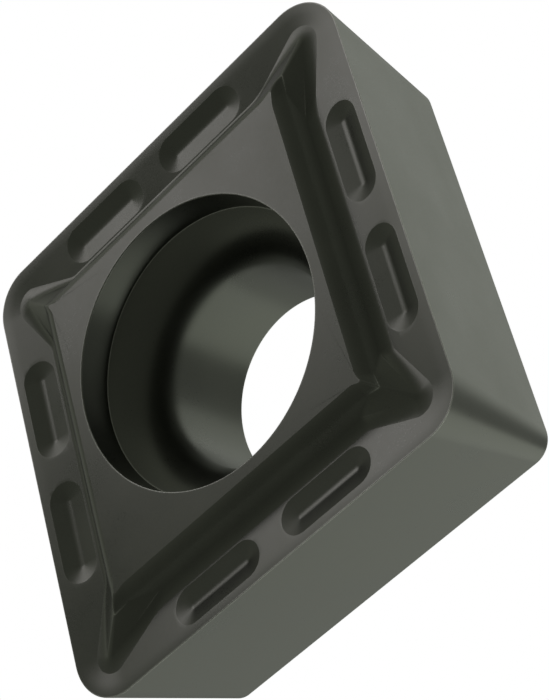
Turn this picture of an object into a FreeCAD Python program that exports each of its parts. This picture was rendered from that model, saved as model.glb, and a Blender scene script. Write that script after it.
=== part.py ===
import FreeCAD, Part
import math
import os
from FreeCAD import Vector

os.makedirs("parts", exist_ok=True)

# Rhombic turning insert: one sintered body.
# Frame: origin at the centre of the bottom seating face, +Z out of the seat,
# +X to one sharp (acute) corner, +Y to one blunt (obtuse) corner.
# Lengths are millimetres, angles degrees. Heights of the chip-breaker are
# taken from the cutting rim, insets are taken inwards from the cutting edge.

# Body
INSCRIBED = 12.7
CORNER_ANGLE = 80.0
CLEARANCE = 7.0
RIM_HEIGHT = 5.1
NOSE_RADIUS = 1.28

# Land: rolls over from the cutting edge, then slopes down to the crease
ROLL_WIDTH = 0.36
EDGE_SLOPE = 4.0
LAND_SLOPE = 8.8
LAND_WIDTH = 1.34

# Wall between the crease and the raised plateau
PLATEAU_RISE = 0.475
WALL_SLOPE = 57.0
FOOT_RADIUS = 0.36
SHOULDER_RADIUS = 0.52
SHOULDER_END = 8.0

# Tongues of the groove that run out to the corners
TONGUE_GAP = 0.6
TONGUE_RADIUS = 0.5
TONGUE_HALF = (18.2, 22.8)
TONGUE_BEND = (1.8, 0.4)

# Ribs that climb from the tongues to the points of the plateau
RIB_GAP = 1.0
RIB_RADIUS = 0.1
RIB_HALF = (24.4, 27.0)
RIB_BEND = (1.2, 0.5)
CREST_DRAW = 0.05
CREST_HALF = (35.0, 42.0)
POINT_DRAW = 0.1
POINT_HALF = (27.0, 29.0)
POINT_RADIUS = 0.04

# Dimples: two per side, shallow grooves with turned ends, square to the land
DIMPLE_OUTER = 0.25
DIMPLE_MARGIN = 0.045
DIMPLE_SLOPE = 14.0
DIMPLE_RADIUS = 0.45
DIMPLE_LENGTH = 2.91
DIMPLE_PITCH = 3.74
DIMPLE_SHIFT = 0.47

# Screw hole: counterbore, rounded seat, bore and a chamfer underneath
MOUTH_RADIUS = 3.84
MOUTH_DEPTH = 1.0
SEAT_RADIUS = 1.86
BORE_RADIUS = 2.725
BORE_CHAMFER = 0.33

# How far the plateau block and the cutting tools reach past what they shape
SINK = 0.6
SKIRT = 0.15
UNDER = 0.005
OVER = 0.01
PAST = 1.0

HALF = math.radians(CORNER_ANGLE / 2)
RADIUS = INSCRIBED / 2
OUTWARD = Vector(math.sin(HALF), math.cos(HALF), 0)
ALONG = Vector(-math.cos(HALF), math.sin(HALF), 0)
CORNERS = (RADIUS / math.sin(HALF), RADIUS / math.cos(HALF))
NOSES = (CORNERS[0] - NOSE_RADIUS / math.sin(HALF), CORNERS[1] - NOSE_RADIUS / math.cos(HALF))
SIDE_START = NOSE_RADIUS / math.tan(HALF)
SIDE_END = math.hypot(*CORNERS) - NOSE_RADIUS * math.tan(HALF)
PLATEAU_HEIGHT = RIM_HEIGHT + PLATEAU_RISE


def sin(angle):
    return math.sin(math.radians(angle))


def cos(angle):
    return math.cos(math.radians(angle))


def tan(angle):
    return math.tan(math.radians(angle))


ROLL_RADIUS = ROLL_WIDTH / (sin(LAND_SLOPE) - sin(EDGE_SLOPE))
ROLL_DROP = ROLL_RADIUS * (cos(EDGE_SLOPE) - cos(LAND_SLOPE))


def land_height(inset):
    """Height of the straight part of the land, from the rim."""
    return -ROLL_DROP - (inset - ROLL_WIDTH) * tan(LAND_SLOPE)


CREASE_HEIGHT = land_height(LAND_WIDTH)
FOOT_HEIGHT = CREASE_HEIGHT + FOOT_RADIUS * (1 - cos(WALL_SLOPE))
CREST_HEIGHT = PLATEAU_RISE - SHOULDER_RADIUS * (cos(SHOULDER_END) - cos(WALL_SLOPE))
FOOT_INSET = LAND_WIDTH + FOOT_RADIUS * sin(WALL_SLOPE)
CREST_INSET = FOOT_INSET + (CREST_HEIGHT - FOOT_HEIGHT) / tan(WALL_SLOPE)
PLATEAU_INSET = CREST_INSET + SHOULDER_RADIUS * (sin(WALL_SLOPE) - sin(SHOULDER_END))
DIMPLE_HALF = (LAND_WIDTH - DIMPLE_MARGIN - DIMPLE_OUTER) / cos(LAND_SLOPE) / 2
DIMPLE_INSET = (LAND_WIDTH - DIMPLE_MARGIN + DIMPLE_OUTER) / 2
DIMPLE_FALL = DIMPLE_RADIUS * (1 - cos(DIMPLE_SLOPE))
DIMPLE_DEPTH = DIMPLE_FALL + (DIMPLE_HALF - DIMPLE_RADIUS * sin(DIMPLE_SLOPE)) * tan(DIMPLE_SLOPE)


def section(arc, lines):
    """Face between an arc and the lines that close it."""
    edges = [Part.Arc(*arc).toShape()]
    edges += [Part.makeLine(a, b) for a, b in zip(lines, lines[1:])]
    return Part.Face(Part.Wire(edges))


def turned(shape, angle):
    """Copy of a shape turned about the axis of the screw hole."""
    copy = shape.copy()
    copy.rotate(Vector(0, 0, 0), Vector(0, 0, 1), angle)
    return copy


def rounded(vertices, radii):
    """Start, middle and end of the arc that rounds each vertex of a polygon."""
    arcs = []
    for i, vertex in enumerate(vertices):
        back = (vertices[i - 1] - vertex).normalize()
        ahead = (vertices[(i + 1) % len(vertices)] - vertex).normalize()
        half = back.getAngle(ahead) / 2
        inward = (back + ahead).normalize()
        reach = radii[i] / math.tan(half)
        middle = vertex + inward * (radii[i] / math.sin(half) - radii[i])
        arcs.append((vertex + back * reach, middle, vertex + ahead * reach))
    return arcs


def closed_wire(arcs):
    """Join the arcs by straight edges."""
    edges = []
    for i, (start, middle, end) in enumerate(arcs):
        edges.append(Part.Arc(start, middle, end).toShape())
        edges.append(Part.makeLine(end, arcs[(i + 1) % len(arcs)][0]))
    return Part.Wire(edges)


def rhomb_wire(inset, radius, height):
    """Rounded rhomb, inset from the sharp outline at the rim."""
    scale = 1 - inset / RADIUS
    corners = [Vector(CORNERS[0] * scale, 0, height), Vector(0, CORNERS[1] * scale, height)]
    corners += [Vector(-p.x, -p.y, p.z) for p in corners]
    return closed_wire(rounded(corners, [radius] * 4))


def make_blank():
    """Tapered body up to the rim."""
    taper = RIM_HEIGHT * tan(CLEARANCE)
    bottom = rhomb_wire(taper, NOSE_RADIUS - taper, 0)
    top = rhomb_wire(0, NOSE_RADIUS, RIM_HEIGHT)
    return Part.makeLoft([bottom, top], True, True)


def land_section(foot, depth):
    """Section cut away over the land, from outside the edge to the given inset."""
    def at(inset, height):
        return foot - OUTWARD * inset + Vector(0, 0, RIM_HEIGHT + height)

    middle = (EDGE_SLOPE + LAND_SLOPE) / 2
    roll = at(ROLL_RADIUS * (sin(middle) - sin(EDGE_SLOPE)),
              ROLL_RADIUS * (cos(middle) - cos(EDGE_SLOPE)))
    edge = at(0, 0)
    land = at(ROLL_WIDTH, -ROLL_DROP)
    inside = at(depth, land_height(depth))
    outside = [at(depth, PAST), at(-PAST, PAST), at(-PAST, PAST * tan(EDGE_SLOPE))]
    return section((edge, roll, land), [land, inside, *outside, edge])


def make_land_cutters():
    """Straight strips along the sides and turned sectors round the corners."""
    corner = Vector(CORNERS[0], 0, 0)
    strip = land_section(corner + ALONG * SIDE_START, CREST_INSET)
    side = strip.extrude(ALONG * (SIDE_END - SIDE_START))
    centres = (Vector(NOSES[0], 0, 0), Vector(0, NOSES[1], 0))
    turns = (CORNER_ANGLE - 180, CORNER_ANGLE)
    noses = []
    for centre, turn in zip(centres, turns):
        wedge = land_section(centre + OUTWARD * NOSE_RADIUS, NOSE_RADIUS)
        noses.append(wedge.revolve(centre, Vector(0, 0, 1), turn))
    quarters = [side, side.mirror(Vector(0, 0, 0), Vector(0, 1, 0))] + noses
    return quarters + [turned(q, 180) for q in quarters]


def rim_distance(point):
    """Distance inwards from the rounded rim, seen from above."""
    x, y = abs(point.x), abs(point.y)
    along = (CORNERS[0] - x) * math.cos(HALF) + y * math.sin(HALF)
    if along < SIDE_START:
        return NOSE_RADIUS - math.hypot(x - NOSES[0], y)
    if along > SIDE_END:
        return NOSE_RADIUS - math.hypot(x, y - NOSES[1])
    return RADIUS - x * math.sin(HALF) - y * math.cos(HALF)


def blend(first, last, share):
    """Row of outline numbers between two others."""
    return [a + (b - a) * share for a, b in zip(first, last)]


def side_tips(inset, draw):
    """Where two sides at an inset meet on the axes, drawn out a little."""
    return [corner * (1 - inset / RADIUS) + draw for corner in CORNERS]


def rim_tips(gap):
    """Points on the axes at a distance inside the rounded rim."""
    return [nose + NOSE_RADIUS - gap for nose in NOSES]


def flipped(points):
    """The same points on the other side of the Y axis, in reverse order."""
    return [Vector(-p.x, p.y, p.z) for p in reversed(points)]


def outline_row(inset, tips, halves, tip_radius, bends):
    return [inset, *tips, *halves, tip_radius, *bends]


def outline(row):
    """Arcs of the rhomb whose corners are drawn out into tongues or ribs."""
    inset, tip_x, tip_y, half_x, half_y, tip_radius, bend_x, bend_y = row
    apex_x = tip_x + tip_radius * (1 / sin(half_x) - 1)
    apex_y = tip_y + tip_radius * (1 / sin(half_y) - 1)
    reach = RADIUS - inset
    slope = math.tan(HALF)
    bend = (reach / math.cos(HALF) - apex_x * tan(half_x)) / (slope - tan(half_x))
    near_x = Vector(bend, (apex_x - bend) * tan(half_x), 0)
    bend = (reach / math.sin(HALF) - apex_y * tan(half_y)) / (1 / slope - tan(half_y))
    near_y = Vector((apex_y - bend) * tan(half_y), bend, 0)
    tips = [Vector(apex_x, 0, 0), Vector(0, apex_y, 0)]
    quarter = [near_x, near_y]
    vertices = [tips[0], *quarter, tips[1], *flipped(quarter)]
    vertices += [v * -1 for v in vertices]
    radii = [tip_radius, bend_x, bend_y, tip_radius, bend_y, bend_x] * 2
    return rounded(vertices, radii)


def land_at(point):
    """Height of the land under a point, from the rim."""
    return land_height(max(rim_distance(point), ROLL_WIDTH))


def lifted(arcs, heights):
    """Give each point of the arcs its own height over the rim."""
    pairs = [zip(arc, rise) for arc, rise in zip(arcs, heights)]
    return [[Vector(p.x, p.y, RIM_HEIGHT + h) for p, h in pair] for pair in pairs]


def raised(arcs, height):
    return closed_wire(lifted(arcs, [[height] * 3] * len(arcs)))


def make_plateau():
    """Block of the raised plateau, its walls and ribs, sunk into the body."""
    crease = outline_row(LAND_WIDTH, rim_tips(TONGUE_GAP), TONGUE_HALF, TONGUE_RADIUS, TONGUE_BEND)
    foot = outline_row(FOOT_INSET, rim_tips(RIB_GAP), RIB_HALF, RIB_RADIUS, RIB_BEND)
    crest = outline_row(CREST_INSET, side_tips(CREST_INSET, CREST_DRAW), CREST_HALF,
                        POINT_RADIUS, RIB_BEND)
    top = outline_row(PLATEAU_INSET, side_tips(PLATEAU_INSET, POINT_DRAW), POINT_HALF,
                      POINT_RADIUS, RIB_BEND)
    skirt = outline_row(LAND_WIDTH - SKIRT, rim_tips(TONGUE_GAP - SKIRT), TONGUE_HALF,
                        TONGUE_RADIUS + SKIRT, [bend - SKIRT for bend in TONGUE_BEND])
    floor = [[land_at(p) - UNDER for p in arc] for arc in outline(crease)]
    wires = [raised(outline(skirt), -SINK), closed_wire(lifted(outline(skirt), floor))]
    for share in (0, 1 / 3, 2 / 3):
        slope = share * WALL_SLOPE
        rise = (1 - cos(slope)) / (1 - cos(WALL_SLOPE))
        row = outline(blend(crease, foot, sin(slope) / sin(WALL_SLOPE)))
        heights = [[low + (FOOT_HEIGHT - low) * rise for low in arc] for arc in floor]
        wires.append(closed_wire(lifted(row, heights)))
    wires.append(raised(outline(foot), FOOT_HEIGHT))
    for share in (0, 1 / 3, 2 / 3, 1):
        slope = WALL_SLOPE + (SHOULDER_END - WALL_SLOPE) * share
        run = (sin(WALL_SLOPE) - sin(slope)) / (sin(WALL_SLOPE) - sin(SHOULDER_END))
        height = CREST_HEIGHT + SHOULDER_RADIUS * (cos(slope) - cos(WALL_SLOPE))
        wires.append(raised(outline(blend(crest, top, run)), height))
    return Part.makeLoft(wires, True, True)


def make_dimple(middle):
    """Tool for one dimple: a bar along the side between two half-turned ends."""
    square = Vector(0, 0, cos(LAND_SLOPE)) - OUTWARD * sin(LAND_SLOPE)
    across = Vector(0, 0, sin(LAND_SLOPE)) + OUTWARD * cos(LAND_SLOPE)
    centre = Vector(CORNERS[0], 0, RIM_HEIGHT + land_height(DIMPLE_INSET)) - OUTWARD * DIMPLE_INSET
    reach = DIMPLE_LENGTH / 2 - DIMPLE_HALF
    first = centre + ALONG * (middle - reach)
    last = centre + ALONG * (middle + reach)

    def floor(origin, slope):
        up = DIMPLE_RADIUS * (1 - cos(slope)) - DIMPLE_DEPTH
        return origin + across * DIMPLE_RADIUS * sin(slope) + square * up

    def top(origin, aside):
        return origin + across * aside + square * OVER

    brim = DIMPLE_HALF + OVER / tan(DIMPLE_SLOPE)
    arc = [floor(first, slope) for slope in (-DIMPLE_SLOPE, 0, DIMPLE_SLOPE)]
    lines = [arc[2], top(first, brim), top(first, -brim), arc[0]]
    bar = section(arc, lines).extrude(last - first)
    ends = []
    for origin, turn in ((first, -180), (last, 180)):
        arc = [floor(origin, slope) for slope in (0, DIMPLE_SLOPE / 2, DIMPLE_SLOPE)]
        lines = [arc[2], top(origin, brim), top(origin, 0), arc[0]]
        ends.append(section(arc, lines).revolve(origin, square, turn))
    return bar.fuse(ends)


def make_dimples():
    """Two dimples on one side, repeated on the other three."""
    middle = math.hypot(*CORNERS) / 2 + DIMPLE_SHIFT
    tools = [make_dimple(middle + step * DIMPLE_PITCH / 2) for step in (-1, 1)]
    tools += [tool.mirror(Vector(0, 0, 0), Vector(0, 1, 0)) for tool in tools]
    return tools + [turned(tool, 180) for tool in tools]


def make_hole():
    """Turned tool for the screw hole, from below the seat to above the plateau."""
    ledge = PLATEAU_HEIGHT - MOUTH_DEPTH
    sweep = math.acos(1 - (MOUTH_RADIUS - BORE_RADIUS) / SEAT_RADIUS)
    bore_top = ledge - SEAT_RADIUS * math.sin(sweep)

    def at(radius, height):
        return Vector(radius, 0, height)

    seat = [at(BORE_RADIUS + SEAT_RADIUS * (1 - math.cos(turn)), bore_top + SEAT_RADIUS * math.sin(turn))
            for turn in (0, sweep / 2, sweep)]
    above = [at(MOUTH_RADIUS, PLATEAU_HEIGHT + PAST), at(0, PLATEAU_HEIGHT + PAST)]
    below = [at(0, -PAST), at(BORE_RADIUS + BORE_CHAMFER + PAST, -PAST), at(BORE_RADIUS, BORE_CHAMFER)]
    profile = section(seat, [seat[2], *above, *below, seat[0]])
    return profile.revolve(Vector(0, 0, 0), Vector(0, 0, 1), 360)


def make_insert():
    body = make_blank().cut(make_land_cutters())
    body = body.fuse(make_plateau())
    return body.cut(make_dimples()).cut(make_hole())


insert = make_insert()
insert.exportStep("parts/insert.step")
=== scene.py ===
import cmath
import math

import bpy
from bpy.props import (
    FloatProperty,
    FloatVectorProperty,
    IntProperty,
    PointerProperty,
    StringProperty,
)
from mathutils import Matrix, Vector


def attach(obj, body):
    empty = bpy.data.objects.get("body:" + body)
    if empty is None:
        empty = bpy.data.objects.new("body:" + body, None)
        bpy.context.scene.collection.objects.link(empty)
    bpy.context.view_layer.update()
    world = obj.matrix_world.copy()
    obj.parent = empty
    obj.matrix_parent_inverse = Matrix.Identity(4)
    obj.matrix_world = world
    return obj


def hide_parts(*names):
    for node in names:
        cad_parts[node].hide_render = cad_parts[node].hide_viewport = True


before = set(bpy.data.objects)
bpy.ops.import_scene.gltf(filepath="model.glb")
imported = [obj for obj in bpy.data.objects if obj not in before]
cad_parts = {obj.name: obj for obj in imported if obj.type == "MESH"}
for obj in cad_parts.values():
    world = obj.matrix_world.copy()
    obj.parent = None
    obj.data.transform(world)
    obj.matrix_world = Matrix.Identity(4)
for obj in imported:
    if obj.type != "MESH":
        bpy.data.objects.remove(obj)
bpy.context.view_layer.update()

bl_info = {
    "name": "Carbide insert",
    "version": (1, 0, 0),
    "blender": (4, 5, 0),
    "location": "3D View > Sidebar > Insert",
    "description": "Builds a rhombic turning insert of sintered carbide on a pale table",
    "category": "Add Mesh",
}

MM = 0.001
BODY = "insert_body"
# shares of the way from the plateau's edge to the mouth; the two rows there keep its shading flat
FLAT_ROWS = (0.02, 0.98)
# light of the room below the horizon: azimuth in degrees from +X towards +Y, and level
LOW_LIGHT = (
    (-180, 0.66), (-177, 0.68), (-171, 1.15), (-96, 1.2), (-87, 0.4), (-28, 0.4), (-20, 0.9),
    (-8, 0.9), (21, 0.81), (60, 0.25), (130, 0.25), (165, 0.62), (180, 0.66),
)


def length(name, description, millimetres):
    return FloatProperty(name=name, description=description, default=millimetres * MM,
                         min=0, unit="LENGTH", precision=5)


def angle(name, description, degrees):
    return FloatProperty(name=name, description=description, default=math.radians(degrees),
                         subtype="ANGLE", unit="ROTATION")


def share(name, description, number):
    return FloatProperty(name=name, description=description, default=number, min=0, max=1,
                         subtype="FACTOR")


def value(name, description, number):
    return FloatProperty(name=name, description=description, default=number, precision=4)


def count(name, description, number):
    return IntProperty(name=name, description=description, default=number, min=1)


def colour(name, description, code):
    return StringProperty(name=name, description=description, default=code)


class BodySizes(bpy.types.PropertyGroup):
    """Body and screw hole."""
    inscribed: length("Inscribed circle", "Circle that touches the four sides at the rim", 12.7)
    corner: angle("Sharp corner", "Angle of the two sharp corners", 80)
    clearance: angle("Clearance", "Lean of the flanks under the cutting edge", 7)
    rim: length("Rim height", "Cutting edge above the seat", 5.1)
    nose: length("Nose radius", "Radius of the four corners at the rim", 1.28)
    hone: length("Honed edge", "Radius of the rounded cutting edge", 0.012)
    break_edge: length("Broken edge", "Radius on the lower edges and the hole's mouth", 0.025)
    mouth: length("Mouth radius", "Radius of the counterbore", 3.84)
    mouth_depth: length("Mouth depth", "Depth of the counterbore under the plateau", 1.0)
    seat: length("Seat radius", "Radius of the rounded seat for the screw's head", 1.86)
    bore: length("Bore radius", "Radius of the screw's bore", 2.725)
    chamfer: length("Bore chamfer", "Chamfer under the bore", 0.33)


class BreakerSizes(bpy.types.PropertyGroup):
    """Land, wall, tongues, ribs and dimples; insets from the edge, heights from the rim."""
    roll: length("Roll-over", "Width over which the land rolls from the edge to its slope", 0.36)
    edge_slope: angle("Edge slope", "Slope of the land at the cutting edge", 4)
    land_slope: angle("Land slope", "Slope of the land up to the crease", 8.8)
    land: length("Land width", "Inset of the crease along the sides", 1.34)
    rise: length("Plateau rise", "Plateau above the cutting edge", 0.475)
    wall_slope: angle("Wall slope", "Slope of the wall between its foot and its shoulder", 57)
    foot: length("Foot radius", "Radius at the foot of the wall", 0.36)
    shoulder: length("Shoulder radius", "Radius at the top of the wall", 0.52)
    shoulder_end: angle("Shoulder end", "Slope left where the shoulder meets the plateau", 8)
    tongue_gap: length("Tongue gap", "Land left in front of a tongue", 0.6)
    tongue_tip: length("Tongue tip", "Radius of a tongue's tip", 0.5)
    tongue_half_sharp: angle("Tongue half, sharp", "Half angle of the tongue in a sharp corner", 18.2)
    tongue_half_blunt: angle("Tongue half, blunt", "Half angle of the tongue in a blunt corner", 22.8)
    tongue_bend_sharp: length("Tongue bend, sharp", "Bend from that tongue to the side", 1.8)
    tongue_bend_blunt: length("Tongue bend, blunt", "Bend from that tongue to the side", 0.4)
    rib_gap: length("Rib gap", "Low end of a rib from the rim", 1.0)
    rib_tip: length("Rib tip", "Radius of the low end of a rib", 0.1)
    rib_half_sharp: angle("Rib half, sharp", "Half angle of the rib in a sharp corner", 24.4)
    rib_half_blunt: angle("Rib half, blunt", "Half angle of the rib in a blunt corner", 27)
    rib_bend_sharp: length("Rib bend, sharp", "Bend from that rib to the side", 1.2)
    rib_bend_blunt: length("Rib bend, blunt", "Bend from that rib to the side", 0.5)
    crest_draw: length("Crest draw", "How far the wall's top runs out along a rib", 0.05)
    crest_half_sharp: angle("Crest half, sharp", "Half angle at the wall's top", 35)
    crest_half_blunt: angle("Crest half, blunt", "Half angle at the wall's top", 42)
    point_draw: length("Point draw", "How far the plateau's point runs out along a rib", 0.1)
    point_half_sharp: angle("Point half, sharp", "Half angle of the plateau's point", 27)
    point_half_blunt: angle("Point half, blunt", "Half angle of the plateau's point", 29)
    point_tip: length("Point tip", "Radius of the plateau's points", 0.04)
    dimple_outer: length("Dimple outside", "Inset of the outer long side of a dimple", 0.25)
    dimple_margin: length("Dimple margin", "Land left between a dimple and the crease", 0.045)
    dimple_slope: angle("Dimple slope", "Slope of a dimple's sides against the land", 14)
    dimple_floor: length("Dimple floor", "Radius of a dimple's floor", 0.45)
    dimple_rim: length("Dimple rim", "Radius of the worn rim round a dimple", 0.02)
    dimple_rim_end: angle("Dimple rim end", "Slope left where that rim meets the land", 2)
    dimple_length: length("Dimple length", "Length of a dimple along the side", 2.91)
    dimple_pitch: length("Dimple pitch", "Distance between the two dimples of a side", 3.74)
    dimple_shift: length("Dimple shift", "How far the pair lies towards the blunt corner", 0.47)


class MeshSteps(bpy.types.PropertyGroup):
    """How finely the surfaces are divided, and which edges are shaded sharp."""
    tip: count("Tip steps", "Steps round a tongue's or rib's tip", 28)
    bend: count("Bend steps", "Steps round the bend beside it", 8)
    slant: count("Slant steps", "Steps along a tongue's or rib's side", 18)
    side: count("Side steps", "Steps along a side of the plateau", 40)
    broken: count("Broken edge steps", "Steps over a broken edge", 4)
    flank: count("Flank steps", "Steps up the flank", 8)
    hone: count("Hone steps", "Steps over the honed edge", 8)
    roll: count("Roll-over steps", "Steps over the land's roll-over", 6)
    land: count("Land steps", "Steps across the land", 8)
    wall: count("Wall steps", "Steps up the plane part of the wall", 6)
    curve: count("Curve steps", "Steps over a foot, a shoulder or a dimple's floor", 14)
    mouth: count("Mouth steps", "Steps down the counterbore", 3)
    seat: count("Seat steps", "Steps over the rounded seat", 28)
    bore: count("Bore steps", "Steps down the bore", 4)
    end: count("End steps", "Steps round each end of a dimple", 36)
    run: count("Run steps", "Steps along a dimple's straight sides", 8)
    rim: count("Rim steps", "Steps over the worn rim of a dimple", 6)
    sharp: angle("Sharp from", "Bend from which an edge is shaded sharp", 6)


class Carbide(bpy.types.PropertyGroup):
    """Finish of the sintered carbide."""
    dark: colour("Carbide, dark", "Darker share of the sintered surface", "#51534e")
    light: colour("Carbide, light", "Lighter share of the sintered surface", "#575953")
    # the pale edge colour below is partly wear from handling and partly a painted highlight along edges
    # and creases
    worn_and_highlit: colour("Carbide, worn", "Edges rubbed pale by handling", "#b4b6b0")
    wear_and_highlight_width: length("Wear width", "Width of the rubbed band along the edges", 0.06)
    wear_and_highlight: value("Wear", "How strongly the sharpest edges are rubbed", 1.6)
    metallic: share("Metallic", "Metal share of the surface; the rest is dull ceramic grain", 0.8)
    cloud: length("Cloud size", "Width of the faint clouds left by sintering", 2.6)
    grain: length("Grain size", "Width of the grains of the surface", 0.05)
    grain_share: share("Grain share", "How much the grains count beside the clouds", 0.4)
    grain_height: length("Grain height", "Height of the grains", 0.0004)
    rough: share("Roughness", "Roughness of the surface between its grains", 0.31)
    rough_spread: share("Roughness spread", "How much grains and clouds change the roughness", 0.06)


class Studio(bpy.types.PropertyGroup):
    """Table, key lamp and the room; azimuths from +X towards +Y, heights over the table."""
    table: colour("Table", "Colour of the table", "#ffffff")
    table_width: length("Table width", "Width of the square table, which fills the view", 4000)
    room: colour("Room", "Tint of the room's own soft light", "#fafeec")
    low: colour("Room, low", "Tint of the room's light below the horizon", "#fbfff4")
    room_front: value("Room, front", "Light of the room on the camera's side", 0.17)
    room_back: value("Room, back", "Light of the room overhead on the far side", 0.25)
    room_far: value("Room, far", "Light of the room low on the far side", 0.55)
    overhead: value("Overhead", "Height of a direction at which the room counts as overhead", 0.6)
    front_end: value("Front's end", "Depth of a direction at which the front's light ends", -0.3)
    back_start: value("Back's start", "Depth of a direction at which the back's light is full", 0.5)
    low_start: value("Low start", "Height of a direction at which the low light starts", 0.07)
    low_full: value("Low full", "Height of a direction at which the low light is full", -0.13)
    key_azimuth: angle("Key azimuth", "Direction of the key lamp", 75)
    key_height: angle("Key height", "Height of the key lamp", 40)
    key_distance: length("Key distance", "Distance of the key lamp", 150)
    key_width: length("Key width", "Width of the key lamp", 60)
    key: colour("Key", "Colour of the key lamp", "#fff7ff")
    key_power: value("Key power", "Power of the key lamp in watts", 0.0175)


class Viewpoint(bpy.types.PropertyGroup):
    """Camera, as it was fitted to the outline of the insert."""
    lens: value("Lens", "Focal length in millimetres", 104.6)
    sensor: value("Sensor", "Width of the sensor in millimetres", 36)
    shift_x: value("Shift, across", "Sideways shift of the frame", 0.0649)
    shift_y: value("Shift, up", "Upward shift of the frame", 0.0611)
    near: length("Near end", "Distance at which the view starts", 1)
    far: length("Far end", "Distance at which the view ends", 10000)
    place: FloatVectorProperty(
        name="Place", description="Place of the camera", subtype="TRANSLATION", unit="LENGTH",
        default=[v * MM for v in (-3.42368, -35.47756, 41.90417)])
    turn: FloatVectorProperty(
        name="Turn", description="Turn of the camera about X, Y and Z", subtype="EULER", unit="ROTATION",
        default=[math.radians(v) for v in (17.81985, 39.77967, -67.39431)])


def linear(code):
    """Linear colour of an sRGB hex value."""
    values = [int(code[i:i + 2], 16) / 255 for i in (1, 3, 5)]
    return [v / 12.92 if v <= 0.04045 else ((v + 0.055) / 1.055) ** 2.4 for v in values] + [1.0]


def add(tree, kind, settings=None, links=None):
    """Adds a node, sets its properties and inputs, and links its inputs to other outputs."""
    node = tree.nodes.new(kind)
    for key, setting in (settings or {}).items():
        if isinstance(key, int) or key in node.inputs:
            node.inputs[key].default_value = setting
        else:
            setattr(node, key, setting)
    for key, socket in (links or {}).items():
        tree.links.new(socket, node.inputs[key])
    return node


def rounded(vertices, radii, arc_steps, run_steps):
    """Points round a closed polygon, given as complex numbers, whose corners are rounded."""
    arcs = []
    for i, vertex in enumerate(vertices):
        back = vertices[i - 1] - vertex
        ahead = vertices[(i + 1) % len(vertices)] - vertex
        back, ahead = back / abs(back), ahead / abs(ahead)
        half = abs(cmath.phase(ahead / back)) / 2
        middle = (back + ahead) / abs(back + ahead)
        centre = vertex + middle * radii[i] / math.sin(half)
        start = vertex + back * radii[i] / math.tan(half) - centre
        turn = math.copysign(math.pi - 2 * half, cmath.phase(-ahead / back))
        arcs.append([centre + start * cmath.rect(1, turn * k / arc_steps[i])
                     for k in range(arc_steps[i] + 1)])
    points = []
    for i, arc in enumerate(arcs):
        last, following = arc[-1], arcs[(i + 1) % len(arcs)][0]
        points += arc
        points += [last + (following - last) * k / run_steps[i] for k in range(1, run_steps[i])]
    return points


def slot(reach, width, end_steps, run_steps):
    """Points round a slot of half a width, whose round ends are centred a reach off its middle."""
    turns = [math.pi * k / end_steps for k in range(end_steps + 1)]
    cap = [complex(math.sin(t) * width, -math.cos(t) * width) for t in turns]
    near, far = [reach + p for p in cap], [-reach - p for p in cap]
    points = []
    for end, start in ((near, far), (far, near)):
        points += end
        points += [end[-1] + (start[0] - end[-1]) * k / run_steps for k in range(1, run_steps)]
    return points


def fillet(corner, first, last, radius, steps):
    """Rounds a convex corner of a section; first and last are the tilts of the two faces."""
    before = complex(-math.sin(first), math.cos(first))
    after = complex(-math.sin(last), math.cos(last))
    across = (before + after) / (1 + (before * after.conjugate()).real)
    centre = complex(*corner) - radius * across
    tilts = [first + (last - first) * k / steps for k in range(steps + 1)]
    arc = [centre + radius * complex(-math.sin(t), math.cos(t)) for t in tilts]
    return [(p.real, p.imag) for p in arc]


def blend(first, last, part):
    """Mixes two lists of numbers; part is the share of the last."""
    return [a + (b - a) * part for a, b in zip(first, last)]


def flat_row(points, height):
    return [(p.real, p.imag, height) for p in points]


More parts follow.
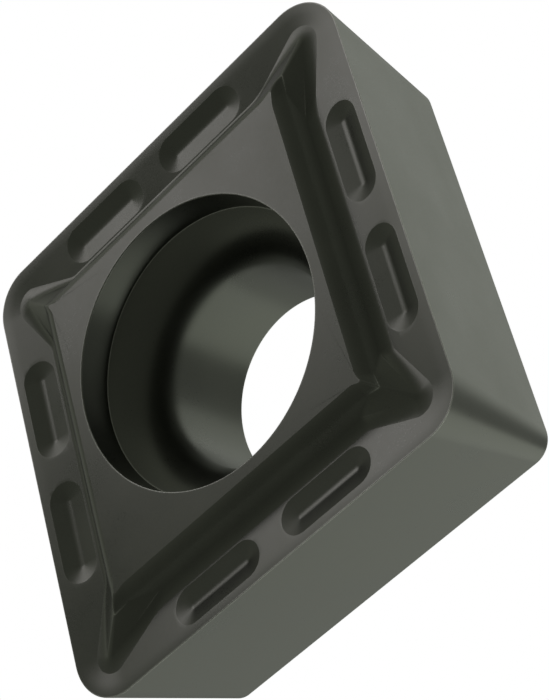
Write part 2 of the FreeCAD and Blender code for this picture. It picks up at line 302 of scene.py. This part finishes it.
class Shape:
    """Outlines and sections of the insert, worked out from its sizes."""

    def __init__(self, body, breaker, steps):
        self.body, self.breaker, self.steps = body, breaker, steps
        b = breaker
        self.half = body.corner / 2
        self.radius = body.inscribed / 2
        sine, cosine = math.sin(self.half), math.cos(self.half)
        self.corners = (self.radius / sine, self.radius / cosine)
        self.noses = (self.corners[0] - body.nose / sine, self.corners[1] - body.nose / cosine)
        self.outward = complex(sine, cosine)
        self.along = complex(-cosine, sine)
        self.side_start = body.nose / math.tan(self.half)
        self.side_end = math.hypot(*self.corners) - body.nose * math.tan(self.half)
        self.plateau = body.rim + b.rise
        self.roll_radius = b.roll / (math.sin(b.land_slope) - math.sin(b.edge_slope))
        self.roll_drop = self.roll_radius * (math.cos(b.edge_slope) - math.cos(b.land_slope))
        self.foot_height = self.land_height(b.land) + b.foot * (1 - math.cos(b.wall_slope))
        self.foot_inset = b.land + b.foot * math.sin(b.wall_slope)
        self.crest_height = b.rise - b.shoulder * (math.cos(b.shoulder_end) - math.cos(b.wall_slope))
        self.crest_inset = (self.foot_inset
                            + (self.crest_height - self.foot_height) / math.tan(b.wall_slope))
        self.top_inset = (self.crest_inset
                          + b.shoulder * (math.sin(b.wall_slope) - math.sin(b.shoulder_end)))
        bends = (b.rib_bend_sharp, b.rib_bend_blunt)
        self.crease = [b.land, *self.rim_tips(b.tongue_gap), b.tongue_half_sharp, b.tongue_half_blunt,
                       b.tongue_tip, b.tongue_bend_sharp, b.tongue_bend_blunt]
        self.foot = [self.foot_inset, *self.rim_tips(b.rib_gap), b.rib_half_sharp, b.rib_half_blunt,
                     b.rib_tip, *bends]
        self.crest = [self.crest_inset, *self.side_tips(self.crest_inset, b.crest_draw),
                      b.crest_half_sharp, b.crest_half_blunt, b.point_tip, *bends]
        self.top = [self.top_inset, *self.side_tips(self.top_inset, b.point_draw),
                    b.point_half_sharp, b.point_half_blunt, b.point_tip, *bends]
        line = self.outline(self.crease)
        self.feet = [self.rim_foot(p) for p in line]
        self.insets = [abs(p - f) for p, (f, _) in zip(line, self.feet)]

    def land_height(self, inset):
        b = self.breaker
        return -self.roll_drop - (inset - b.roll) * math.tan(b.land_slope)

    def rim_tips(self, gap):
        """Points on the axes at a gap inside the rounded rim."""
        return [nose + self.body.nose - gap for nose in self.noses]

    def side_tips(self, inset, draw):
        """Where two sides at an inset meet on the axes, drawn out a little."""
        return [corner * (1 - inset / self.radius) + draw for corner in self.corners]

    def rim_foot(self, point):
        """Nearest point of the sharp rim, and the direction outwards there."""
        x, y = abs(point.real), abs(point.imag)
        here = complex(x, y)
        along = ((here - self.corners[0]) * self.along.conjugate()).real
        if along < self.side_start:
            centre = complex(self.noses[0], 0)
            out = (here - centre) / abs(here - centre)
            foot = centre + out * self.body.nose
        elif along > self.side_end:
            centre = complex(0, self.noses[1])
            out = (here - centre) / abs(here - centre)
            foot = centre + out * self.body.nose
        else:
            out = self.outward
            foot = self.corners[0] + self.along * along
        signs = [math.copysign(1, v) for v in (point.real, point.imag)]
        return [complex(p.real * signs[0], p.imag * signs[1]) for p in (foot, out)]

    def outline(self, row):
        """Rhomb whose corners are drawn out into tongues or ribs."""
        inset, tip_x, tip_y, half_x, half_y, tip, bend_x, bend_y = row
        apex_x = tip_x + tip * (1 / math.sin(half_x) - 1)
        apex_y = tip_y + tip * (1 / math.sin(half_y) - 1)
        reach = self.radius - inset
        slope = math.tan(self.half)
        x = ((reach / math.cos(self.half) - apex_x * math.tan(half_x))
             / (slope - math.tan(half_x)))
        y = ((reach / math.sin(self.half) - apex_y * math.tan(half_y))
             / (1 / slope - math.tan(half_y)))
        near_x = complex(x, (apex_x - x) * math.tan(half_x))
        near_y = complex((apex_y - y) * math.tan(half_y), y)
        vertices = [complex(apex_x, 0), near_x, near_y, complex(0, apex_y),
                    -near_y.conjugate(), -near_x.conjugate()]
        vertices += [-v for v in vertices]
        s = self.steps
        points = rounded(vertices, [tip, bend_x, bend_y, tip, bend_y, bend_x] * 2,
                         [s.tip, s.bend, s.bend, s.tip, s.bend, s.bend] * 2,
                         [s.slant, s.side, s.slant] * 4)
        return points[s.tip // 2:] + points[:s.tip // 2]

    def offset(self, insets, heights):
        """Row at each point's own inset from the rim and height over it."""
        plan = [foot - out * inset for (foot, out), inset in zip(self.feet, insets)]
        return [(p.real, p.imag, self.body.rim + h) for p, h in zip(plan, heights)]

    def circle(self, radius, height):
        wide = len(self.feet)
        turns = [2 * math.pi * k / wide for k in range(wide)]
        return flat_row([cmath.rect(radius, t) for t in turns], height)

    def flank_rows(self):
        """Rows from the bore's lower edge outwards, up the flank, and over the cutting edge."""
        body, b, s = self.body, self.breaker, self.steps
        taper = body.rim * math.tan(body.clearance)
        flank = math.pi / 2 + body.clearance
        under = fillet((taper, -body.rim), math.pi, flank, body.break_edge, s.broken)
        honed = fillet((0, 0), flank, -b.edge_slope, body.hone, s.hone)
        section = under + [blend(under[-1], honed[0], k / s.flank) for k in range(1, s.flank)] + honed
        start = math.asin(math.sin(b.edge_slope) + honed[-1][0] / self.roll_radius)
        for k in range(1, s.roll + 1):
            slope = start + (b.land_slope - start) * k / s.roll
            section.append((self.roll_radius * (math.sin(slope) - math.sin(b.edge_slope)),
                            self.roll_radius * (math.cos(slope) - math.cos(b.edge_slope))))
        wide = len(self.feet)
        rows = [self.circle(body.bore + body.chamfer, 0)]
        rows += [self.offset([inset] * wide, [height] * wide) for inset, height in section]
        return rows

    def land_rows(self):
        """Rows across the land, from its roll-over to the crease."""
        b, s = self.breaker, self.steps
        rows = []
        for k in range(1, s.land + 1):
            insets = [b.roll + (d - b.roll) * k / s.land for d in self.insets]
            rows.append(self.offset(insets, [self.land_height(d) for d in insets]))
        return rows

    def wall_rows(self):
        """Rows over the foot, up the wall, and over the shoulder to the plateau."""
        body, b, s = self.body, self.breaker, self.steps
        low = [self.land_height(d) for d in self.insets]
        rows = []
        for k in range(1, s.curve + 1):
            slope = b.wall_slope * k / s.curve
            rise = (1 - math.cos(slope)) / (1 - math.cos(b.wall_slope))
            run = math.sin(slope) / math.sin(b.wall_slope)
            plan = self.outline(blend(self.crease, self.foot, run))
            rows.append([(p.real, p.imag, body.rim + h + (self.foot_height - h) * rise)
                         for p, h in zip(plan, low)])
        below = rows[-1]
        above = flat_row(self.outline(self.crest), body.rim + self.crest_height)
        rows += [[blend(p, q, k / s.wall) for p, q in zip(below, above)]
                 for k in range(1, s.wall + 1)]
        for k in range(1, s.curve + 1):
            slope = b.wall_slope + (b.shoulder_end - b.wall_slope) * k / s.curve
            run = ((math.sin(b.wall_slope) - math.sin(slope))
                   / (math.sin(b.wall_slope) - math.sin(b.shoulder_end)))
            height = self.crest_height + b.shoulder * (math.cos(slope) - math.cos(b.wall_slope))
            rows.append(flat_row(self.outline(blend(self.crest, self.top, run)), body.rim + height))
        return rows

    def hole_rows(self, edge):
        """Rows from the plateau's edge inwards, down the counterbore, the seat and the bore."""
        body, s = self.body, self.steps
        ledge = self.plateau - body.mouth_depth
        mouth = fillet((-body.mouth, self.plateau), 0, -math.pi / 2, body.break_edge, s.broken)
        brim = [self.circle(-r, z) for r, z in mouth]
        rows = [[blend(p, q, part) for p, q in zip(edge, brim[0])] for part in FLAT_ROWS]
        rows += brim
        rows += [self.circle(body.mouth, ledge + (mouth[-1][1] - ledge) * k / s.mouth)
                 for k in range(s.mouth - 1, 0, -1)]
        sweep = math.acos(1 - (body.mouth - body.bore) / body.seat)
        bore_top = ledge - body.seat * math.sin(sweep)
        for k in range(s.seat, -1, -1):
            turn = sweep * k / s.seat
            rows.append(self.circle(body.bore + body.seat * (1 - math.cos(turn)),
                                    bore_top + body.seat * math.sin(turn)))
        rows += [self.circle(body.bore, body.chamfer + (bore_top - body.chamfer) * k / s.bore)
                 for k in range(s.bore - 1, -1, -1)]
        return rows

    def rows(self):
        """Closed rows of points, from the bore's lower edge outwards, up, inwards and down."""
        rows = self.flank_rows() + self.land_rows() + self.wall_rows()
        return rows + self.hole_rows(rows[-1])

    def stamp(self, middle):
        """Rings of the stamp that presses one dimple, from its floor to above the land."""
        b, s = self.breaker, self.steps
        # half the width lies along the slope of the land, and the inset is that of the middle
        half = (b.land - b.dimple_margin - b.dimple_outer) / math.cos(b.land_slope) / 2
        inset = (b.land - b.dimple_margin + b.dimple_outer) / 2
        reach = b.dimple_length / 2 - half
        deep = (b.dimple_floor * (1 - math.cos(b.dimple_slope))
                + (half - b.dimple_floor * math.sin(b.dimple_slope)) * math.tan(b.dimple_slope))
        section = []
        for k in range(1, s.curve + 1):
            slope = b.dimple_slope * k / s.curve
            section.append((b.dimple_floor * math.sin(slope),
                            b.dimple_floor * (1 - math.cos(slope)) - deep))
        section += fillet((half, 0), b.dimple_slope, b.dimple_rim_end, b.dimple_rim, s.rim)
        section.append((section[-1][0], b.dimple_margin))
        centre = self.corners[0] + self.along * middle - self.outward * inset
        height = self.body.rim + self.land_height(inset)
        sine, cosine = math.sin(b.land_slope), math.cos(b.land_slope)
        rings = []
        for width, up in section:
            ring = slot(reach, width, s.end, s.run)
            plan = [centre + self.along * p.real - self.outward * (p.imag * cosine + up * sine)
                    for p in ring]
            rings.append([(q.real, q.imag, height - p.imag * sine + up * cosine)
                          for p, q in zip(ring, plan)])
        return rings

    def stamps(self):
        """Vertices and faces of the eight stamps, two to each side."""
        b = self.breaker
        middle = math.hypot(*self.corners) / 2 + b.dimple_shift
        vertices, faces = [], []
        for side_x, side_y in ((1, 1), (-1, 1), (-1, -1), (1, -1)):
            for step in (-0.5, 0.5):
                points, loops = ring_faces(self.stamp(middle + step * b.dimple_pitch), False)
                if side_x * side_y < 0:
                    loops = [loop[::-1] for loop in loops]
                faces += [[len(vertices) + i for i in loop] for loop in loops]
                vertices += [(x * side_x, y * side_y, z) for x, y, z in points]
        return vertices, faces


def ring_faces(rings, closed):
    """Vertices and faces that join rings of points; the ends are joined or get a lid each."""
    vertices = [point for ring in rings for point in ring]
    wide = len(rings[0])
    starts = [wide * k for k in range(len(rings))]
    pairs = list(zip(starts, starts[1:]))
    faces = []
    if closed:
        pairs.append((starts[-1], 0))
    else:
        faces = [list(range(wide))[::-1], list(range(starts[-1], starts[-1] + wide))]
    for low, high in pairs:
        for k in range(wide):
            after = (k + 1) % wide
            faces.append([low + k, low + after, high + after, high + k])
    return vertices, faces


def new_object(name, vertices, faces):
    mesh = bpy.data.meshes.new(name)
    mesh.from_pydata(vertices, [], faces)
    mesh.validate()
    piece = bpy.data.objects.new(name, mesh)
    bpy.context.scene.collection.objects.link(piece)
    return piece


def apply_modifier(piece, kind, settings):
    """Adds a modifier to a piece and keeps what it makes as the piece's mesh."""
    modifier = piece.modifiers.new(kind, kind)
    for key, setting in settings.items():
        setattr(modifier, key, setting)
    graph = bpy.context.evaluated_depsgraph_get()
    made = bpy.data.meshes.new_from_object(piece.evaluated_get(graph))
    before = piece.data
    piece.modifiers.clear()
    piece.data = made
    bpy.data.meshes.remove(before)


class INSERT_OT_body(bpy.types.Operator):
    """Builds the body, presses the dimples into its land, and puts it on the CAD body"""
    bl_idname = "insert.body"
    bl_label = "Insert body"

    def execute(self, context):
        scene = context.scene
        shape = Shape(scene.insert_body, scene.insert_breaker, scene.insert_steps)
        piece = new_object(BODY, *ring_faces(shape.rows(), True))
        cutter = new_object("stamps", *shape.stamps())
        before = len(piece.data.vertices)
        apply_modifier(piece, "BOOLEAN", {"operation": "DIFFERENCE", "solver": "EXACT", "object": cutter})
        bpy.data.objects.remove(cutter)
        if len(piece.data.vertices) < before:
            raise RuntimeError("the dimples could not be pressed into the body")
        # creases stay sharp, rounded strips are smooth, and plane faces shade as planes
        piece.data.shade_smooth()
        piece.data.set_sharp_from_angle(angle=scene.insert_steps.sharp)
        apply_modifier(piece, "WEIGHTED_NORMAL", {"keep_sharp": True})
        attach(piece, "root")
        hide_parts("insert")
        return {"FINISHED"}


def sintered_carbide(look):
    """Tungsten carbide as it leaves the sintering furnace: satin grey-green with a fine grain, and edges
    painted paler, partly as wear and partly as painted highlight.
    """
    material = bpy.data.materials.new("sintered_carbide")
    material.use_nodes = True
    tree = material.node_tree
    place = add(tree, "ShaderNodeTexCoord").outputs["Object"]
    # broad, faint clouds of tone from the furnace
    cloud = add(tree, "ShaderNodeTexNoise", {"Scale": 1 / look.cloud, "Detail": 4, "Roughness": 0.55},
                {"Vector": place}).outputs["Fac"]
    # real grains are a micrometre or two wide; they are drawn coarser so that they show
    grain = add(tree, "ShaderNodeTexNoise", {"Scale": 1 / look.grain, "Detail": 3, "Roughness": 0.6},
                {"Vector": place}).outputs["Fac"]
    mottle = add(tree, "ShaderNodeMix", {0: look.grain_share}, {2: cloud, 3: grain}).outputs[0]
    tone = add(tree, "ShaderNodeMapRange", {"From Min": 0.35, "From Max": 0.65},
               {"Value": mottle}).outputs[0]
    skin = add(tree, "ShaderNodeMix", {"data_type": "RGBA", 6: linear(look.dark), 7: linear(look.light)},
               {0: tone}).outputs[2]
    # edges and creases are painted paler, unevenly along their length: partly wear from handling, partly
    # painted highlight;
    # the sharper the edge, the further the normal of a bevel as wide as the band turns away from the
    # surface's own
    turned = add(tree, "ShaderNodeBevel", {"samples": 4, "Radius": look.wear_and_highlight_width}).outputs[0]
    straight = add(tree, "ShaderNodeNewGeometry").outputs["Normal"]
    bent = add(tree, "ShaderNodeVectorMath", {"operation": "DOT_PRODUCT"},
               {0: turned, 1: straight}).outputs["Value"]
    edge = add(tree, "ShaderNodeMapRange", {"From Min": 0.995, "From Max": 0.9, "To Max": look.wear_and_highlight},
               {"Value": bent}).outputs[0]
    rubbed_and_highlit = add(tree, "ShaderNodeMath", {"operation": "MULTIPLY"}, {0: edge, 1: mottle}).outputs[0]
    # paints the pale colour on the band: partly wear, partly painted highlight
    worn_highlit_skin = add(tree, "ShaderNodeMix", {"data_type": "RGBA", 7: linear(look.worn_and_highlit)},
                {0: rubbed_and_highlit, 6: skin}).outputs[2]
    # grains and clouds scatter the light more or less
    dull = add(tree, "ShaderNodeMapRange", {"From Min": 0.3, "From Max": 0.7,
                                            "To Min": look.rough - look.rough_spread,
                                            "To Max": look.rough + look.rough_spread},
               {"Value": mottle}).outputs[0]
    relief = add(tree, "ShaderNodeBump", {"Distance": look.grain_height}, {"Height": grain}).outputs[0]
    shader = tree.nodes["Principled BSDF"]
    shader.inputs["Metallic"].default_value = look.metallic
    for name, socket in (("Base Color", worn_highlit_skin), ("Roughness", dull), ("Normal", relief)):
        tree.links.new(socket, shader.inputs[name])
    return material


class INSERT_OT_finish(bpy.types.Operator):
    """Gives the body its sintered carbide surface"""
    bl_idname = "insert.finish"
    bl_label = "Sintered carbide"

    def execute(self, context):
        material = sintered_carbide(context.scene.insert_carbide)
        bpy.data.objects[BODY].data.materials.append(material)
        return {"FINISHED"}


def lit_table(studio):
    """White table lit from below, as for product photographs: plain, with no grain and no shadow."""
    material = bpy.data.materials.new("white_table")
    material.use_nodes = True
    tree = material.node_tree
    tree.nodes.clear()
    glow = add(tree, "ShaderNodeEmission", {"Color": linear(studio.table)})
    add(tree, "ShaderNodeOutputMaterial", None, {"Surface": glow.outputs[0]})
    return material


def low_light(tree, way):
    """Light of the room below the horizon, by the azimuth of a direction."""
    turn = add(tree, "ShaderNodeMath", {"operation": "ARCTAN2"}, {0: way["Y"], 1: way["X"]}).outputs[0]
    along = add(tree, "ShaderNodeMapRange", {"From Min": -math.pi, "From Max": math.pi},
                {"Value": turn}).outputs[0]
    ramp = add(tree, "ShaderNodeValToRGB", None, {0: along})
    stops = ramp.color_ramp.elements
    for azimuth, _ in LOW_LIGHT[1:-1]:
        stops.new((azimuth + 180) / 360)
    for stop, (_, bright) in zip(stops, LOW_LIGHT):
        stop.color = (bright, bright, bright, 1)
    return ramp.outputs[0]


def room_light(tree, studio):
    """Level and tint of the room's light: front and back above the horizon, sectors below it."""
    place = add(tree, "ShaderNodeTexCoord").outputs["Generated"]
    way = add(tree, "ShaderNodeSeparateXYZ", None, {0: place}).outputs
    far = add(tree, "ShaderNodeMapRange", {"From Max": studio.overhead, "To Min": studio.room_far,
                                           "To Max": studio.room_back},
              {"Value": way["Z"]}).outputs[0]
    high = add(tree, "ShaderNodeMapRange", {"interpolation_type": "SMOOTHSTEP",
                                            "From Min": studio.front_end,
                                            "From Max": studio.back_start,
                                            "To Min": studio.room_front},
               {"Value": way["Y"], "To Max": far}).outputs[0]
    below = add(tree, "ShaderNodeMapRange", {"From Min": studio.low_start, "From Max": studio.low_full},
                {"Value": way["Z"]}).outputs[0]
    level = add(tree, "ShaderNodeMix", None, {0: below, 2: high, 3: low_light(tree, way)}).outputs[0]
    tint = add(tree, "ShaderNodeMix", {"data_type": "RGBA", 6: linear(studio.room), 7: linear(studio.low)},
               {0: below}).outputs[2]
    return level, tint


def room(studio):
    """World that lights the insert as the room does and looks as pale as the table to the camera."""
    world = bpy.data.worlds.new("room")
    world.use_nodes = True
    tree = world.node_tree
    tree.nodes.clear()
    level, tint = room_light(tree, studio)
    seen = add(tree, "ShaderNodeLightPath").outputs["Is Camera Ray"]
    strength = add(tree, "ShaderNodeMix", {3: 1}, {0: seen, 2: level}).outputs[0]
    hue = add(tree, "ShaderNodeMix", {"data_type": "RGBA", 7: linear(studio.table)},
              {0: seen, 6: tint}).outputs[2]
    sky = add(tree, "ShaderNodeBackground", None, {"Strength": strength, "Color": hue})
    add(tree, "ShaderNodeOutputWorld", None, {"Surface": sky.outputs[0]})
    return world


def key_lamp(studio):
    """Soft round lamp that looks at the insert from its direction."""
    light = bpy.data.lights.new("key", "AREA")
    light.shape = "DISK"
    light.size = studio.key_width
    light.color = linear(studio.key)[:3]
    light.energy = studio.key_power
    holder = bpy.data.objects.new("key", light)
    azimuth, height = studio.key_azimuth, studio.key_height
    holder.location = Vector((math.cos(height) * math.cos(azimuth),
                              math.cos(height) * math.sin(azimuth),
                              math.sin(height))) * studio.key_distance
    holder.rotation_euler = holder.location.to_track_quat("Z", "Y").to_euler()
    return holder


def fitted_camera(view):
    camera = bpy.data.cameras.new("camera")
    camera.lens = view.lens
    camera.sensor_width = view.sensor
    camera.shift_x = view.shift_x
    camera.shift_y = view.shift_y
    camera.clip_start = view.near
    camera.clip_end = view.far
    holder = bpy.data.objects.new("camera", camera)
    holder.location = view.place
    holder.rotation_euler = view.turn
    return holder


class INSERT_OT_stage(bpy.types.Operator):
    """Sets the table, the room, the key lamp and the camera"""
    bl_idname = "insert.stage"
    bl_label = "Table, lights and camera"

    def execute(self, context):
        scene = context.scene
        scene.view_settings.view_transform = "Standard"
        half = scene.insert_studio.table_width / 2
        corners = [(x * half, y * half, 0) for x, y in ((-1, -1), (1, -1), (1, 1), (-1, 1))]
        table = new_object("table", corners, [(0, 1, 2, 3)])
        table.data.materials.append(lit_table(scene.insert_studio))
        # the insert mirrors the room around it instead of the white table, as in the photo
        table.visible_glossy = table.visible_diffuse = False
        scene.world = room(scene.insert_studio)
        lamp = key_lamp(scene.insert_studio)
        camera = fitted_camera(scene.insert_viewpoint)
        for item in (lamp, camera):
            scene.collection.objects.link(item)
        scene.camera = camera
        return {"FINISHED"}


class INSERT_PT_panel(bpy.types.Panel):
    """Insert tools in the sidebar"""
    bl_label = "Carbide insert"
    bl_idname = "INSERT_PT_panel"
    bl_space_type = "VIEW_3D"
    bl_region_type = "UI"
    bl_category = "Insert"

    def draw(self, context):
        for operator in OPERATORS:
            self.layout.operator(operator.bl_idname)


OPERATORS = (INSERT_OT_body, INSERT_OT_finish, INSERT_OT_stage)
GROUPS = {
    "insert_body": BodySizes,
    "insert_breaker": BreakerSizes,
    "insert_steps": MeshSteps,
    "insert_carbide": Carbide,
    "insert_studio": Studio,
    "insert_viewpoint": Viewpoint,
}


def register():
    for item in (*GROUPS.values(), *OPERATORS, INSERT_PT_panel):
        bpy.utils.register_class(item)
    for name, group in GROUPS.items():
        setattr(bpy.types.Scene, name, PointerProperty(type=group))


def unregister():
    for name in GROUPS:
        delattr(bpy.types.Scene, name)
    for item in (INSERT_PT_panel, *OPERATORS, *GROUPS.values()):
        bpy.utils.unregister_class(item)


def main():
    register()
    bpy.ops.insert.body()
    bpy.ops.insert.finish()
    bpy.ops.insert.stage()


if __name__ == "__main__":
    main()
